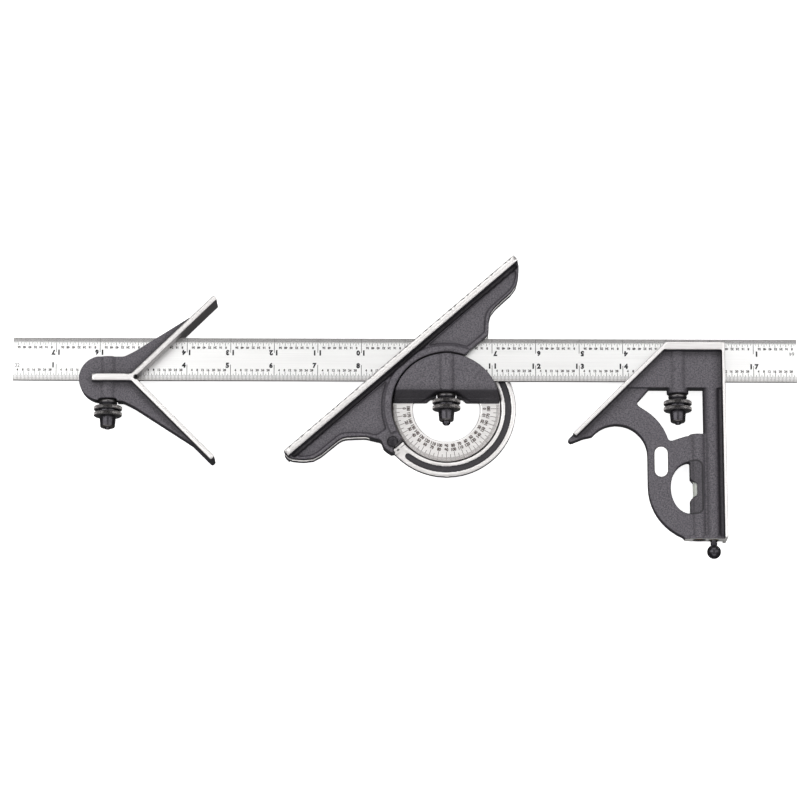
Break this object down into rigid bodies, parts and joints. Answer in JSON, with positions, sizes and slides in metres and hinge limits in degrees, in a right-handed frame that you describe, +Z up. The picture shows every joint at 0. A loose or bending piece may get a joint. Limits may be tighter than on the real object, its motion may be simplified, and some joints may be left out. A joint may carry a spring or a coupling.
{
  "type": "combination square",
  "caption": "Combination square set lying flat: a graduated steel blade with a square head holding a level and scriber, a protractor head and a centre head, each locked by a knurled nut.",
  "frame": {"origin": "under the middle of the set's bounding box, on the surface that it lies on", "axes": "+X along the blade towards the square head's end, +Y across the blade towards its upper edge, +Z up, towards the face with the scales"},
  "size_m": [0.4572, 0.1786, 0.019],
  "materials": {
    "blade_chrome": "satin chrome, with black etched scales",
    "dial_chrome": "satin chrome dial under a painted block",
    "casting_paint": "charcoal wrinkle paint on cast iron, with ground bright lands",
    "black_oxide": "glossy black oxide",
    "bright_steel": "plain turned steel",
    "spring_steel": "drawn wire",
    "brass": "turned brass",
    "vial_glass": "clear glass with a pale green liquid",
    "rubber": "black rubber",
    "white_enamel": "white enamel, blank"
  },
  "bodies": {
    "blade": {"blade": "blade_chrome"},
    "center_head": {"center_head_body": "casting_paint", "center_clamp_spring": "spring_steel"},
    "center_nut": {"center_clamp_nut": "black_oxide"},
    "center_bolt": {"center_clamp_bolt": "black_oxide"},
    "turret": {"protractor_turret": "dial_chrome", "turret_clamp_spring": "spring_steel"},
    "turret_nut": {"turret_clamp_nut": "black_oxide"},
    "turret_bolt": {"turret_clamp_bolt": "black_oxide"},
    "protractor": {"protractor_frame": "casting_paint", "turret_retaining_ring": "bright_steel", "ring_screw_1": "bright_steel", "ring_screw_2": "bright_steel", "ring_screw_3": "bright_steel", "ring_screw_4": "bright_steel", "turret_lock_screw": "black_oxide"},
    "lock_nut": {"turret_lock_nut": "black_oxide"},
    "lock_shoe": {"turret_lock_shoe": "brass"},
    "square_head": {"square_head_body": "casting_paint", "square_clamp_spring": "spring_steel", "level_vial_glass": "vial_glass", "level_vial_cushion": "rubber", "level_vial_plug": "brass", "scriber_bushing": "brass", "badge_plate": "white_enamel"},
    "square_nut": {"square_clamp_nut": "black_oxide"},
    "square_bolt": {"square_clamp_bolt": "black_oxide"},
    "scriber": {"scriber_needle": "bright_steel", "scriber_knob": "black_oxide"}
  },
  "joints": [
    {"name": "center_head_slide", "type": "slide", "parent": "blade", "child": "center_head", "axis": [1, 0, 0], "range_m": [-0.038, 0.016]},
    {"name": "protractor_slide", "type": "slide", "parent": "blade", "child": "turret", "axis": [1, 0, 0], "range_m": [-0.018, 0.006]},
    {"name": "square_head_slide", "type": "slide", "parent": "blade", "child": "square_head", "axis": [1, 0, 0], "range_m": [-0.006, 0.043]},
    {"name": "protractor_swivel", "type": "hinge", "parent": "turret", "child": "protractor", "pos_m": [0.0242, -0.00061, 0.0095], "axis": [0, 0, 1], "range_deg": [-41.4, 138.6]},
    {"name": "center_nut_turn", "type": "hinge", "parent": "center_head", "child": "center_nut", "pos_m": [-0.1726, -0.00151, 0.0095], "axis": [0, -1, 0], "range_deg": [0, 360]},
    {"name": "turret_nut_turn", "type": "hinge", "parent": "turret", "child": "turret_nut", "pos_m": [0.0242, 0.00289, 0.0095], "axis": [0, -1, 0], "range_deg": [0, 360]},
    {"name": "square_nut_turn", "type": "hinge", "parent": "square_head", "child": "square_nut", "pos_m": [0.1587, 0.00249, 0.0095], "axis": [0, -1, 0], "range_deg": [0, 360]},
    {"name": "center_bolt_lift", "type": "slide", "parent": "center_head", "child": "center_bolt", "axis": [0, 1, 0], "range_m": [0, 0.00081]},
    {"name": "turret_bolt_lift", "type": "slide", "parent": "turret", "child": "turret_bolt", "axis": [0, 1, 0], "range_m": [0, 0.00081]},
    {"name": "square_bolt_lift", "type": "slide", "parent": "square_head", "child": "square_bolt", "axis": [0, 1, 0], "range_m": [0, 0.00081]},
    {"name": "lock_nut_turn", "type": "hinge", "parent": "protractor", "child": "lock_nut", "pos_m": [-0.00699, -0.02197, 0.0014], "axis": [0, 0, -1], "range_deg": [0, 180]},
    {"name": "lock_shoe_drop", "type": "slide", "parent": "protractor", "child": "lock_shoe", "axis": [0, 0, -1], "range_m": [0, 0.00021]},
    {"name": "scriber_draw", "type": "slide", "parent": "square_head", "child": "scriber", "axis": [0, -1, 0], "range_m": [0, 0.06]}
  ],
  "couplings": [
    {"joint": "center_bolt_lift", "follows": "center_nut_turn", "m_per_rad": 0.00012732},
    {"joint": "turret_bolt_lift", "follows": "turret_nut_turn", "m_per_rad": 0.00012732},
    {"joint": "square_bolt_lift", "follows": "square_nut_turn", "m_per_rad": 0.00012732},
    {"joint": "lock_shoe_drop", "follows": "lock_nut_turn", "m_per_rad": 0.00006366}
  ]
}
